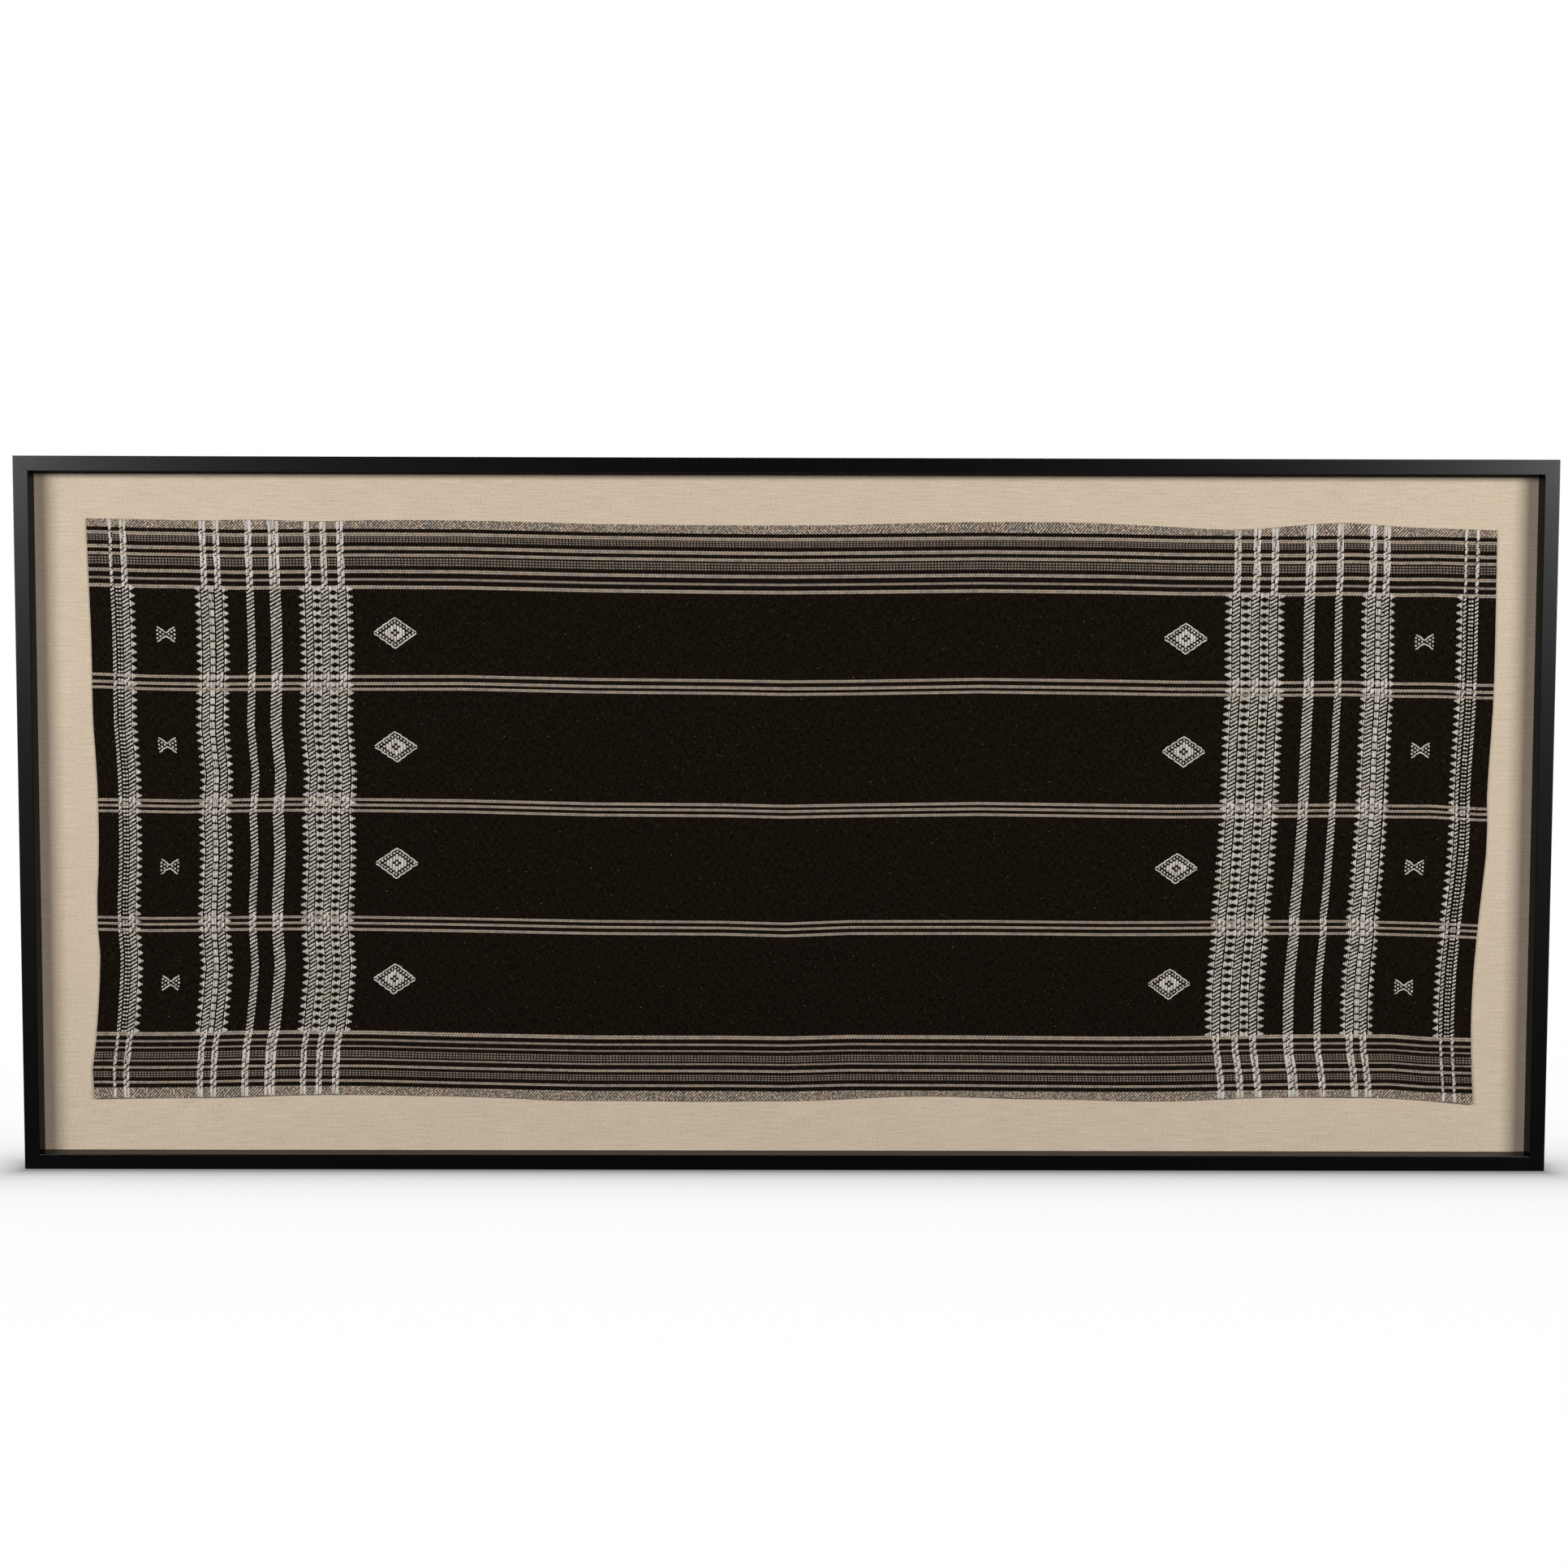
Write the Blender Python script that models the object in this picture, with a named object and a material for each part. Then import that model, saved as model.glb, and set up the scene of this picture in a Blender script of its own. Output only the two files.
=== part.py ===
"""A framed woven textile: a dark banded wool cloth, stitched to a linen-covered board in a deep black frame.

Units are metres. X runs along the frame, Z is up and Y points into the wall, so the front faces -Y.
The origin is the middle of the hanging cleat's back face, which lies on the wall.
"""

import math

import bmesh
import bpy

# Frame moulding
FRAME_WIDTH = 2.360
FRAME_HEIGHT = 1.101
FRAME_DEPTH = 0.057
FACE_WIDTH = 0.0233
LIP_DEPTH = 0.038
REBATE_WIDTH = 0.012
ARRIS_RADIUS = 0.0009
ARRIS_STEPS = 4

# Linen, board and cleat behind the lip
LINEN_THICKNESS = 0.001
BOARD_THICKNESS = 0.0052
TURN_OVER = 0.035
CLEAT_LENGTH = 1.200
CLEAT_HEIGHT = 0.040

# Cloth
CLOTH_THICKNESS = 0.0016
CLOTH_COLUMNS = 48
CLOTH_ROWS = 20
EDGE_COCKLE = 0.0022
COCKLE_LENGTH = 0.240

# Pieces that touch stand this far apart
CONTACT_GAP = 0.0003

# Heights and depths worked out from the sizes above
REAR_WALL = FACE_WIDTH - REBATE_WIDTH
TOP_Z = CLEAT_HEIGHT / 2 + CONTACT_GAP + REAR_WALL
CENTRE_Z = TOP_Z - FRAME_HEIGHT / 2
FRONT_Y = -FRAME_DEPTH
LIP_BACK_Y = FRONT_Y + LIP_DEPTH
LINEN_FRONT_Y = LIP_BACK_Y + CONTACT_GAP
BOARD_FRONT_Y = LINEN_FRONT_Y + LINEN_THICKNESS + CONTACT_GAP
BOARD_BACK_Y = BOARD_FRONT_Y + BOARD_THICKNESS
TURN_OVER_FRONT_Y = BOARD_BACK_Y + CONTACT_GAP
LINEN_BACK_Y = TURN_OVER_FRONT_Y + LINEN_THICKNESS
CLEAT_FRONT_Y = LINEN_BACK_Y + CONTACT_GAP
CLOTH_BACK_Y = LINEN_FRONT_Y - CONTACT_GAP

# The cloth's outline, from the frame's centre: it hangs a little uneven, as hand-woven cloth does.
# Each row is (place along the edge, distance of the edge).
TOP_EDGE = (  # x, z
    (-1.0775, 0.4560),
    (-0.9000, 0.4530),
    (-0.8200, 0.4545),
    (-0.7200, 0.4520),
    (-0.6200, 0.4545),
    (-0.4200, 0.4525),
    (-0.3000, 0.4492),
    (-0.0700, 0.4475),
    (0.0800, 0.4485),
    (0.2600, 0.4530),
    (0.4500, 0.4530),
    (0.5600, 0.4485),
    (0.7000, 0.4430),
    (0.8500, 0.4540),
    (0.9500, 0.4475),
    (1.0940, 0.4430),
)
BOTTOM_EDGE = (  # x, z
    (-1.0780, -0.4460),
    (-0.9000, -0.4445),
    (-0.7400, -0.4400),
    (-0.5400, -0.4412),
    (-0.3000, -0.4478),
    (0.0300, -0.4480),
    (0.1800, -0.4408),
    (0.4200, -0.4445),
    (0.5800, -0.4480),
    (0.7700, -0.4415),
    (0.9400, -0.4425),
    (1.0750, -0.4520),
)
LEFT_EDGE = (  # z, x
    (-0.4460, -1.0780),
    (-0.4000, -1.0802),
    (-0.3450, -1.0730),
    (-0.2150, -1.0655),
    (-0.1600, -1.0700),
    (-0.0600, -1.0655),
    (0.0600, -1.0665),
    (0.1400, -1.0712),
    (0.2600, -1.0720),
    (0.4560, -1.0775),
)
RIGHT_EDGE = (  # z, x
    (-0.4520, 1.0750),
    (-0.3400, 1.0695),
    (-0.2500, 1.0710),
    (-0.1500, 1.0780),
    (-0.0300, 1.0885),
    (0.0400, 1.0868),
    (0.2000, 1.0938),
    (0.4430, 1.0940),
)


def clear_scene():
    """Remove whatever the scene holds."""
    for old in list(bpy.data.objects):
        bpy.data.objects.remove(old)


def finish_material(name, colour, roughness, metallic=0.0):
    """A plain Principled material in one colour."""
    material = bpy.data.materials.new(name)
    material.use_nodes = True
    shader = material.node_tree.nodes["Principled BSDF"]
    shader.inputs["Base Color"].default_value = (*colour, 1.0)
    shader.inputs["Roughness"].default_value = roughness
    shader.inputs["Metallic"].default_value = metallic
    return material


def add_object(name, bm, material):
    """Turn a bmesh into a named object with one material."""
    bmesh.ops.recalc_face_normals(bm, faces=bm.faces)
    mesh = bpy.data.meshes.new(name)
    bm.to_mesh(mesh)
    bm.free()
    mesh.materials.append(material)
    thing = bpy.data.objects.new(name, mesh)
    bpy.context.scene.collection.objects.link(thing)
    return thing


def prism(profile, length):
    """Sweep a closed (z, y) profile along X, centred on X = 0."""
    bm = bmesh.new()
    start = [bm.verts.new((-length / 2, y, z)) for z, y in profile]
    cap = bm.faces.new(start)
    swept = bmesh.ops.extrude_face_region(bm, geom=[cap], use_keep_orig=True)
    moved = [item for item in swept["geom"] if isinstance(item, bmesh.types.BMVert)]
    bmesh.ops.translate(bm, verts=moved, vec=(length, 0.0, 0.0))
    return bm


def arc(centre, start_angle):
    """Points of a quarter round, as (inset, y) pairs."""
    points = []
    for step in range(ARRIS_STEPS):
        angle = start_angle + math.pi / 2 * step / (ARRIS_STEPS - 1)
        inset = centre[0] + ARRIS_RADIUS * math.cos(angle)
        depth = centre[1] + ARRIS_RADIUS * math.sin(angle)
        points.append((inset, depth))
    return points


def moulding_profile():
    """The moulding's section as (inset from the outer side, y): a deep lip with a rebate behind it."""
    outer_arris = arc((ARRIS_RADIUS, FRONT_Y + ARRIS_RADIUS), math.pi)
    inner_arris = arc((FACE_WIDTH - ARRIS_RADIUS, FRONT_Y + ARRIS_RADIUS), 1.5 * math.pi)
    rebate = [(FACE_WIDTH, LIP_BACK_Y), (REAR_WALL, LIP_BACK_Y), (REAR_WALL, 0.0)]
    return [(0.0, 0.0)] + outer_arris + inner_arris + rebate


def make_rail(name, length, reach, turn, material):
    """One side of the frame: a length of moulding mitred at both ends, turned about the frame's centre."""
    profile = [(reach - inset, y) for inset, y in moulding_profile()]
    bm = prism(profile, length)
    mitre_slack = CONTACT_GAP / math.sqrt(2)
    for vert in bm.verts:
        inset = reach - vert.co.z
        side = math.copysign(1.0, vert.co.x)
        vert.co.x = side * (length / 2 - inset - mitre_slack)
    rail = add_object(name, bm, material)
    rail.rotation_euler = (0.0, turn, 0.0)
    rail.location = (0.0, 0.0, CENTRE_Z)
    return rail


def make_frame():
    """The four rails, each with its own copy of the lacquer."""
    sides = (  # name, length, reach from the centre to the outer side, turn about Y
        ("rail_top", FRAME_WIDTH, FRAME_HEIGHT / 2, 0.0),
        ("rail_right", FRAME_HEIGHT, FRAME_WIDTH / 2, math.pi / 2),
        ("rail_bottom", FRAME_WIDTH, FRAME_HEIGHT / 2, math.pi),
        ("rail_left", FRAME_HEIGHT, FRAME_WIDTH / 2, -math.pi / 2),
    )
    for name, length, reach, turn in sides:
        lacquer = finish_material(f"black_lacquer_{name}", (0.012, 0.011, 0.011), 0.36)
        make_rail(name, length, reach, turn, lacquer)


def rectangle_loop(bm, width, height, y):
    """Four corner points of a rectangle about the frame's centre."""
    corners = ((-1, -1), (1, -1), (1, 1), (-1, 1))
    return [bm.verts.new((sx * width / 2, y, CENTRE_Z + sz * height / 2)) for sx, sz in corners]


def join_loops(bm, first, second):
    """A wall of four faces between two rectangles."""
    for k in range(4):
        after = (k + 1) % 4
        bm.faces.new((first[k], first[after], second[after], second[k]))


def rebate_size():
    """Width and height of the space inside the rebate, less the gap to each wall."""
    lost = 2 * (REAR_WALL + CONTACT_GAP)
    return FRAME_WIDTH - lost, FRAME_HEIGHT - lost


def make_linen():
    """The linen: a front sheet whose edges fold back round the board and over its rim."""
    width, height = rebate_size()
    inner = 2 * LINEN_THICKNESS
    window = 2 * TURN_OVER
    bm = bmesh.new()
    loops = (
        rectangle_loop(bm, width, height, LINEN_FRONT_Y),
        rectangle_loop(bm, width, height, LINEN_BACK_Y),
        rectangle_loop(bm, width - window, height - window, LINEN_BACK_Y),
        rectangle_loop(bm, width - window, height - window, TURN_OVER_FRONT_Y),
        rectangle_loop(bm, width - inner, height - inner, TURN_OVER_FRONT_Y),
        rectangle_loop(bm, width - inner, height - inner, LINEN_FRONT_Y + LINEN_THICKNESS),
    )
    for first, second in zip(loops, loops[1:]):
        join_loops(bm, first, second)
    bm.faces.new(loops[0])
    bm.faces.new(loops[-1])
    add_object("linen_cover", bm, finish_material("natural_linen", (0.50, 0.43, 0.33), 0.9))


def make_board():
    """The plywood board, a little smaller than the linen wrapped round it."""
    width, height = rebate_size()
    lost = 2 * (LINEN_THICKNESS + CONTACT_GAP)
    bm = bmesh.new()
    front = rectangle_loop(bm, width - lost, height - lost, BOARD_FRONT_Y)
    back = rectangle_loop(bm, width - lost, height - lost, BOARD_BACK_Y)
    join_loops(bm, front, back)
    bm.faces.new(front)
    bm.faces.new(back)
    add_object("backing_board", bm, finish_material("birch_plywood", (0.62, 0.47, 0.30), 0.7))


def make_cleat():
    """The hanging cleat: its lower edge is cut back at 45 degrees to hook over a strip on the wall."""
    half = CLEAT_HEIGHT / 2
    bevel = -CLEAT_FRONT_Y
    profile = [(half, 0.0), (half, CLEAT_FRONT_Y), (bevel - half, CLEAT_FRONT_Y), (-half, 0.0)]
    add_object("hanging_cleat", prism(profile, CLEAT_LENGTH), finish_material("poplar", (0.58, 0.45, 0.30), 0.7))


def edge_at(table, place):
    """Height of a smooth curve through an edge table's stations, at a place along it."""
    last = len(table) - 1
    k = 0
    while k < last - 1 and place > table[k + 1][0]:
        k += 1
    before = table[max(k - 1, 0)]
    start = table[k]
    end = table[k + 1]
    after = table[min(k + 2, last)]
    span = end[0] - start[0]
    t = min(max((place - start[0]) / span, 0.0), 1.0)
    slope_start = (end[1] - before[1]) / (end[0] - before[0]) * span
    slope_end = (after[1] - start[1]) / (after[0] - start[0]) * span
    hold_start = (1 + 2 * t) * (1 - t) ** 2 * start[1]
    hold_end = t * t * (3 - 2 * t) * end[1]
    bend_start = t * (1 - t) ** 2 * slope_start
    bend_end = t * t * (t - 1) * slope_end
    return hold_start + hold_end + bend_start + bend_end


def along(table, share):
    """The place that lies a share of the way from a table's first station to its last."""
    return table[0][0] + share * (table[-1][0] - table[0][0])


def place_on_cloth(u, v):
    """Where the cloth's point (u, v) hangs, as (x, z) from the frame's centre: its four edges blended."""
    top = (along(TOP_EDGE, u), edge_at(TOP_EDGE, along(TOP_EDGE, u)))
    bottom = (along(BOTTOM_EDGE, u), edge_at(BOTTOM_EDGE, along(BOTTOM_EDGE, u)))
    left = (edge_at(LEFT_EDGE, along(LEFT_EDGE, v)), along(LEFT_EDGE, v))
    right = (edge_at(RIGHT_EDGE, along(RIGHT_EDGE, v)), along(RIGHT_EDGE, v))
    corners = (
        ((1 - u) * (1 - v), BOTTOM_EDGE[0]),
        (u * (1 - v), BOTTOM_EDGE[-1]),
        ((1 - u) * v, TOP_EDGE[0]),
        (u * v, TOP_EDGE[-1]),
    )
    spot = []
    for axis in range(2):
        blended = (1 - v) * bottom[axis] + v * top[axis] + (1 - u) * left[axis] + u * right[axis]
        blended -= sum(share * corner[axis] for share, corner in corners)
        spot.append(blended)
    return spot


def cockle(x, v):
    """How far the cloth lifts off the linen: soft waves that die out away from the long edges."""
    near_edge = abs(2 * v - 1) ** 6
    wave = 0.5 - 0.5 * math.cos(2 * math.pi * x / COCKLE_LENGTH + 2.0 * v)
    swell = 0.5 - 0.5 * math.cos(2 * math.pi * x / (2.7 * COCKLE_LENGTH))
    return EDGE_COCKLE * near_edge * wave * swell


def make_textile():
    """The woven cloth, flat on the linen inside its own uneven outline."""
    bm = bmesh.new()
    bmesh.ops.create_grid(bm, x_segments=CLOTH_COLUMNS, y_segments=CLOTH_ROWS, size=0.5)
    for vert in bm.verts:
        u = vert.co.x + 0.5
        v = vert.co.y + 0.5
        x, z = place_on_cloth(u, v)
        vert.co = (x, CLOTH_BACK_Y - cockle(x, v), CENTRE_Z + z)
    mesh = bpy.data.meshes.new("textile")
    bm.to_mesh(mesh)
    bm.free()
    mesh.materials.append(finish_material("black_wool", (0.016, 0.011, 0.009), 0.95))
    textile = bpy.data.objects.new("textile", mesh)
    bpy.context.scene.collection.objects.link(textile)
    thickness = textile.modifiers.new("thickness", "SOLIDIFY")
    thickness.thickness = CLOTH_THICKNESS
    thickness.offset = 1.0
    mesh.shade_smooth()
    mesh.set_sharp_from_angle(angle=math.radians(40))


clear_scene()
make_frame()
make_linen()
make_board()
make_cleat()
make_textile()
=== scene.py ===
# %% [markdown]
# # A framed woven textile
# A long dark wool cloth with cream bands lies on a linen-covered board, inside a deep black frame.
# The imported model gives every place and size. This file adds the finishes, the stretched linen,
# the cloth itself and the thousands of cream stitches that stand proud of it.

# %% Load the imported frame
import math

import bmesh
import bpy
import numpy as np
from mathutils import Matrix, Vector


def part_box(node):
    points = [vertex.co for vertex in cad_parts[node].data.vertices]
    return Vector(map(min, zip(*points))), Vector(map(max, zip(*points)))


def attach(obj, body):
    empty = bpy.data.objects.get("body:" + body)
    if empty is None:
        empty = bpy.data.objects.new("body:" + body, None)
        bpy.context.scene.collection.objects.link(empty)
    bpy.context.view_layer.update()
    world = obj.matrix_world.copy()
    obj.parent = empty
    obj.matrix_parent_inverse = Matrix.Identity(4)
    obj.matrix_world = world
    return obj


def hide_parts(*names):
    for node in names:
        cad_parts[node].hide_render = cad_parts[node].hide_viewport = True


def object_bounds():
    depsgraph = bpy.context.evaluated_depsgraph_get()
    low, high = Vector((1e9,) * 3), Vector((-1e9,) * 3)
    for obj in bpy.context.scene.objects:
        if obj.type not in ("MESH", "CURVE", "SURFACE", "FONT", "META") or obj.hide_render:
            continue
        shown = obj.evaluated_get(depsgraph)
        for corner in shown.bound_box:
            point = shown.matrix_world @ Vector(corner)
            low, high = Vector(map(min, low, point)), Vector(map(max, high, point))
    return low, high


def short(*values):
    """Values in one list, rounded for printing."""
    return np.round(np.array(values, float).ravel(), 4).tolist()


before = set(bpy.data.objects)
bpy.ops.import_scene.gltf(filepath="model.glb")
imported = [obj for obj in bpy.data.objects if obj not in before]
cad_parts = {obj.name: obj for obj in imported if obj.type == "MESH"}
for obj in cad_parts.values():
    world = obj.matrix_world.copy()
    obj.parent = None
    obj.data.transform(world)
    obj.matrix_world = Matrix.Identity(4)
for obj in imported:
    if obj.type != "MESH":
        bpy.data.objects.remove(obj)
cad_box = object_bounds()
MM = 0.001
CENTRE_X = (cad_box[0][0] + cad_box[1][0]) / 2
CENTRE_Z = (cad_box[0][2] + cad_box[1][2]) / 2
FLOOR_Z = cad_box[0][2] - 2 * MM
print("frame box", short(cad_box))

# %% [markdown]
# ## Camera, floor and light
# The photograph was taken straight on, a little above the middle and looking slightly down, with a long
# lens. Two wide soft lights stand left and right of the camera, a little higher than the frame, so each
# upright rail throws a soft shadow inwards and shines more towards its top. They are area lights, because
# a lamp's size is what softens its shadows. A light above and behind keeps the back readable.

# %% Camera
LENS = 70.81
SENSOR = 36.0
CAMERA_PLACE = (-0.0293, -4.782, -0.0765)
LOOK_DOWN = 4.73
LOOK_RIGHT = 0.307
ROLL = 0.15


def linked(name, data):
    """A new object with that data, in the scene."""
    made = bpy.data.objects.new(name, data)
    bpy.context.scene.collection.objects.link(made)
    return made


camera_data = bpy.data.cameras.new("camera")
camera_data.lens = LENS
camera_data.sensor_width = SENSOR
camera_data.sensor_fit = "HORIZONTAL"
camera = linked("camera", camera_data)
camera.matrix_world = (
    Matrix.Translation(CAMERA_PLACE)
    @ Matrix.Rotation(math.radians(-LOOK_RIGHT), 4, "Z")
    @ Matrix.Rotation(math.radians(90 - LOOK_DOWN), 4, "X")
    @ Matrix.Rotation(math.radians(ROLL), 4, "Z")
)
bpy.context.scene.camera = camera
print("camera looks from", short(camera.matrix_world.translation))

# %% [markdown]
# ## Shader maths
# A finish is a graph of nodes. As plain expressions it reads like the idea behind it, so a small class
# turns arithmetic on a socket into Math nodes, and one method makes every other node.


# %% Finishes written as expressions
def operator(operation, turned=False):
    """An operator of a wire; turned ones have the wire on their right."""

    def apply(self, other):
        values = (other, self) if turned else (self, other)
        return self.math(operation, *values)

    return apply


class Wire:
    """A socket of a finish: arithmetic on it adds Math nodes."""

    def __init__(self, finish, socket):
        self.finish = finish
        self.socket = socket

    def math(self, operation, *values):
        inputs = dict(enumerate(values))
        return self.finish.node("Math", inputs, operation=operation)

    __add__ = __radd__ = operator("ADD")
    __mul__ = __rmul__ = operator("MULTIPLY")
    __sub__ = operator("SUBTRACT")
    __rsub__ = operator("SUBTRACT", turned=True)
    __truediv__ = operator("DIVIDE")
    power = operator("POWER")
    most = operator("MAXIMUM")
    least = operator("MINIMUM")

    def size(self):
        return self.math("ABSOLUTE", self)

    def wave(self, length):
        """A triangle wave from 0 to 1 and back, once in each length."""
        return self.math("PINGPONG", self * (2 / length), 1.0)

    def step(self, low, high):
        """0 below low, 1 above high, and a soft rise between them; high may be under low."""
        reach = {"Value": self, "From Min": low, "From Max": high}
        return self.finish.node("MapRange", reach, interpolation_type="SMOOTHSTEP")


class Finish:
    """A node material of one name, with its Principled shader as self.shader."""

    def __init__(self, name, roughness=0.8, specular=0.5):
        self.material = bpy.data.materials.new(name)
        self.material.use_nodes = True
        self.tree = self.material.node_tree
        self.shader = self.tree.nodes["Principled BSDF"]
        self.set("Roughness", roughness)
        self.set("Specular IOR Level", specular)

    def node(self, kind, inputs, output=0, stops=None, **settings):
        made = self.tree.nodes.new("ShaderNode" + kind)
        for name, value in settings.items():
            setattr(made, name, value)
        if stops:
            ramp = made.color_ramp.elements
            while len(ramp) < len(stops):
                ramp.new(0.5)
            for element, (place, colour) in zip(ramp, stops):
                element.position = place
                element.color = (*colour, 1.0)
        for name, value in inputs.items():
            self.feed(made.inputs[name], value)
        return Wire(self, made.outputs[output])

    def feed(self, socket, value):
        if isinstance(value, Wire):
            self.tree.links.new(value.socket, socket)
        else:
            socket.default_value = value

    def set(self, name, value):
        """Give the shader's socket of that name a wire or a constant."""
        self.feed(self.shader.inputs[name], value)

    def places(self):
        """Object coordinates as three wires, in metres."""
        whole = self.node("TexCoord", {}, output="Object")
        return [self.node("SeparateXYZ", {0: whole}, output=axis) for axis in range(3)]

    def map(self, name):
        """The two directions of the piece's own UV map of that name, in metres."""
        whole = self.node("UVMap", {}, uv_map=name)
        return [self.node("SeparateXYZ", {0: whole}, output=axis) for axis in range(2)]

    def tint(self, name):
        return self.node("Attribute", {}, output="Fac", attribute_name=name)

    def cloudy(self, x, y=0.0, z=0.0, detail=2.0, rough=0.5):
        """Noise from 0 to 1 at a place given by up to three wires."""
        place = self.node("CombineXYZ", {0: x, 1: y, 2: z})
        inputs = {"Vector": place, "Scale": 1.0, "Detail": detail, "Roughness": rough}
        return self.node("TexNoise", inputs)

    def mix(self, share, one, other):
        """A colour between one and other."""
        return self.node("Mix", {0: share, 6: one, 7: other}, output=2, data_type="RGBA")

    def shade(self, colour, amount):
        """The colour times a number."""
        grey = self.node("CombineColor", {0: amount, 1: amount, 2: amount})
        inputs = {0: 1.0, 6: colour, 7: grey}
        return self.node("Mix", inputs, output=2, data_type="RGBA", blend_type="MULTIPLY")

    def ramp(self, value, stops):
        return self.node("ValToRGB", {0: value}, stops=stops)

    def bump(self, height, depth, strength=1.0):
        """Relief of that depth in metres, sent to the shader's normal."""
        inputs = {"Height": height, "Distance": depth, "Strength": strength}
        self.set("Normal", self.node("Bump", inputs))


def rgb(red, green, blue):
    return (red, green, blue, 1.0)


print("finishes are written as expressions")

# %% [markdown]
# ## Stage
# The floor is a plain white sheet just under the frame. It glows evenly, so that it meets the white
# background with no seam. The pale contact shadow around the frame's foot could be cast by the lights,
# but a formula of the distance from the frame gives it the same soft edge from every side.

# %% Floor
FLOOR_HALF = 14.0
SHADOW_DEPTH = 0.72
SHADOW_REACH = 90 * MM


def deselect_all():
    """Leave no object selected."""
    for item in bpy.context.selected_objects:
        item.select_set(False)


deselect_all()
bpy.ops.mesh.primitive_plane_add(size=2 * FLOOR_HALF, location=(0, 0, FLOOR_Z))
floor = bpy.context.object
floor.name = "floor"
floor.visible_diffuse = False
floor.visible_glossy = False
pale = Finish("pale_floor", roughness=1.0, specular=0.0)
pale.set("Base Color", rgb(0.0, 0.0, 0.0))
floor_x, floor_y, _ = pale.places()
beside = (floor_x.size() - cad_box[1][0]).most(0.0)
before = (cad_box[0][1] - floor_y).most(floor_y).most(0.0)
away = (beside * beside + before * before).power(0.5)
glow = 1.0 - SHADOW_DEPTH * (away / SHADOW_REACH + 1.0).power(-2.0)
pale.set("Emission Color", pale.node("CombineColor", {0: glow, 1: glow, 2: glow}))
pale.set("Emission Strength", 1.0)
floor.data.materials.append(pale.material)
print("floor at", round(FLOOR_Z, 4))

# %% Lights
SIDE_LIGHT_X = 3.3
SIDE_LIGHT_Y = -3.4
SIDE_LIGHT_Z = 0.62
SIDE_LIGHT_SIZE = (2.0, 0.8)
SIDE_LIGHT_WATTS = 212.0
SIDE_LIGHT_BLUE = (1.0, 1.0, 1.04)
REAR_LIGHT_PLACE = (0.0, 1.5, 1.5)
REAR_LIGHT_SIZE = (3.0, 1.4)
REAR_LIGHT_WATTS = 90.0


def soft_light(name, place, aim, width, height, watts, colour=(1.0, 1.0, 1.0)):
    """A rectangular soft light at place that faces aim."""
    data = bpy.data.lights.new(name, "AREA")
    data.shape = "RECTANGLE"
    data.size = width
    data.size_y = height
    data.energy = watts
    data.color = colour
    lamp = linked(name, data)
    lamp.location = place
    lamp.rotation_euler = (Vector(aim) - Vector(place)).to_track_quat("-Z", "Y").to_euler()
    return lamp


middle = (CENTRE_X, 0.0, CENTRE_Z)
for name, side in (("left", -1), ("right", 1)):
    place = (side * SIDE_LIGHT_X, SIDE_LIGHT_Y, SIDE_LIGHT_Z)
    soft_light(name + "_light", place, middle, *SIDE_LIGHT_SIZE, SIDE_LIGHT_WATTS, SIDE_LIGHT_BLUE)
soft_light("rear_light", REAR_LIGHT_PLACE, (0.0, 0.0, FLOOR_Z), *REAR_LIGHT_SIZE, REAR_LIGHT_WATTS)

AMBIENT = rgb(0.022, 0.019, 0.016)
world = bpy.data.worlds.new("studio")
bpy.context.scene.world = world
world.use_nodes = True
sky = world.node_tree.nodes
seen = sky.new("ShaderNodeLightPath")
level = sky.new("ShaderNodeMix")
level.data_type = "RGBA"
level.inputs[6].default_value = AMBIENT
level.inputs[7].default_value = rgb(1.0, 1.0, 1.0)
world.node_tree.links.new(seen.outputs["Is Camera Ray"], level.inputs[0])
world.node_tree.links.new(level.outputs[2], sky["Background"].inputs["Color"])
bpy.context.scene.view_settings.view_transform = "Standard"

# %% [markdown]
# ## Frame
# The rails are hardwood under a satin black lacquer. Their solids already have the right shape, so only
# the finish is new: nearly black, with faint long grain and a little dust. The shader's clear coat gives the
# soft shine of the lacquer. It is left off the inner sides, which stay dull in the photograph.


# %% Lacquer on the four rails
COAT = 0.95


def lacquer(name, upright):
    """Black satin lacquer whose grain runs along a rail, with no coat on the rail's inner side."""
    finish = Finish(name, roughness=0.22, specular=0.02)
    x, y, z = finish.places()
    along, across = (z, x) if upright else (x, z)
    outward = across if upright else across - CENTRE_Z
    normal = finish.node("NewGeometry", {}, output="Normal")
    turned = finish.node("SeparateXYZ", {0: normal}, output=0 if upright else 2)
    inner = (turned * outward.math("SIGN", outward)).step(-0.3, -0.7)
    finish.set("Coat Weight", (1.0 - inner) * COAT)
    finish.set("Coat Roughness", 0.23)
    grain = finish.cloudy(along * 6, across * 900, y * 900, detail=3.0)
    clouds = finish.cloudy(x * 9, y * 9, z * 9)
    dust = finish.cloudy(x * 1400, y * 1400, z * 1400, detail=1.0).step(0.70, 0.78)
    tone = 0.0004 + 0.0004 * clouds
    base = finish.node("CombineColor", {0: tone, 1: tone * 0.97, 2: tone * 1.02})
    finish.set("Base Color", finish.mix(dust * 0.02, base, rgb(0.2, 0.2, 0.2)))
    finish.set("Roughness", 0.19 + 0.03 * clouds + 0.03 * grain)
    finish.bump(grain, 0.03 * MM, 0.5)
    return finish.material


def dress(node_name, material):
    """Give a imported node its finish."""
    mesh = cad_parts[node_name].data
    mesh.materials.clear()
    mesh.materials.append(material)


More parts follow.
